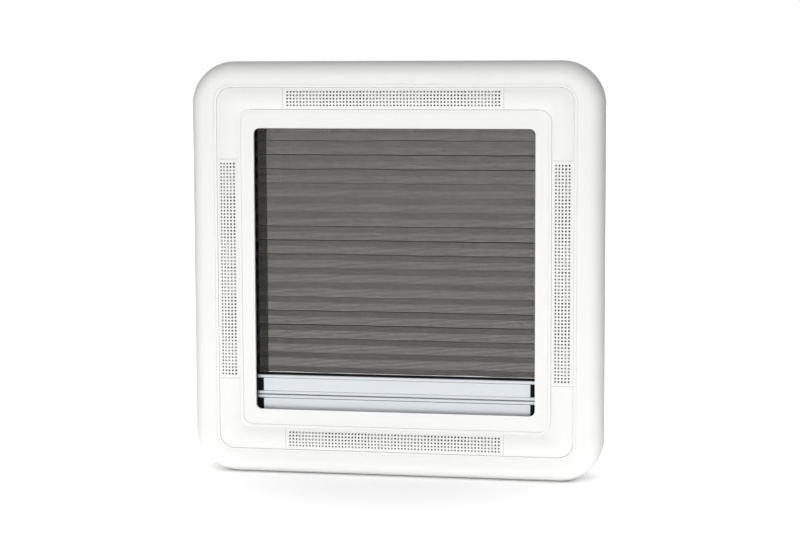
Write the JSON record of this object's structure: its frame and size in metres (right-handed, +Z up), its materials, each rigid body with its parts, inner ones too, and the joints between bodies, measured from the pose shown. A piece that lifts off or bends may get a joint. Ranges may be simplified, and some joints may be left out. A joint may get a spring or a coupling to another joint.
{
  "type": "caravan rooflight",
  "caption": "Square caravan rooflight with white rounded trim, perforated vent strips, a pleated flyscreen and blackout blind on pull bars, and a double acrylic dome.",
  "frame": {"origin": "centre of the roof flange's seat, in the plane where the flange meets the roof skin", "axes": "+X to the right seen from the room, +Y from the room to the roof side, +Z up along the bars' travel"},
  "size_m": [0.5, 0.1276, 0.5],
  "materials": {
    "white_plastic": "satin moulded plastic",
    "roof_plastic": "fine grained weatherproof plastic",
    "acrylic": "clear thermoformed sheet",
    "seal_rubber": "matt extruded rubber",
    "anodised_aluminium": "satin silver anodised extrusion",
    "black_plastic": "matt black moulding",
    "screen_mesh": "black woven insect mesh",
    "blackout_cloth": "grey pleated blackout cloth"
  },
  "bodies": {
    "frame": {"blackout_pleats": "blackout_cloth", "blind_frame": "white_plastic", "corner_cover_bottom_left": "white_plastic", "corner_cover_bottom_right": "white_plastic", "corner_cover_top_left": "white_plastic", "corner_cover_top_right": "white_plastic", "dome_inner_pane": "acrylic", "dome_outer_pane": "acrylic", "dome_seal": "seal_rubber", "flyscreen": "screen_mesh", "foot_rail": "anodised_aluminium", "guide_rail_left": "black_plastic", "guide_rail_right": "black_plastic", "head_rail": "anodised_aluminium", "outer_trim": "white_plastic", "reveal_lining": "white_plastic", "roof_frame": "roof_plastic", "vent_grille_bottom": "white_plastic", "vent_grille_left": "white_plastic", "vent_grille_right": "white_plastic", "vent_grille_top": "white_plastic"},
    "flyscreen_carriage": {"flyscreen_bar": "anodised_aluminium", "flyscreen_bar_face": "anodised_aluminium", "flyscreen_glide_left": "black_plastic", "flyscreen_glide_right": "black_plastic", "flyscreen_hem": "black_plastic"},
    "blackout_carriage": {"blackout_bar": "anodised_aluminium", "blackout_bar_face": "anodised_aluminium", "blackout_glide_left": "black_plastic", "blackout_glide_right": "black_plastic"}
  },
  "joints": [
    {"name": "flyscreen_slide", "type": "slide", "parent": "frame", "child": "flyscreen_carriage", "axis": [0, 0, 1], "range_m": [0, 0.288], "deforming": ["flyscreen"]},
    {"name": "blackout_slide", "type": "slide", "parent": "frame", "child": "blackout_carriage", "axis": [0, 0, 1], "range_m": [0, 0.288], "deforming": ["blackout_pleats"]}
  ],
  "couplings": [
    {"joint": "blackout_slide", "follows": "flyscreen_slide", "ratio": 1}
  ]
}
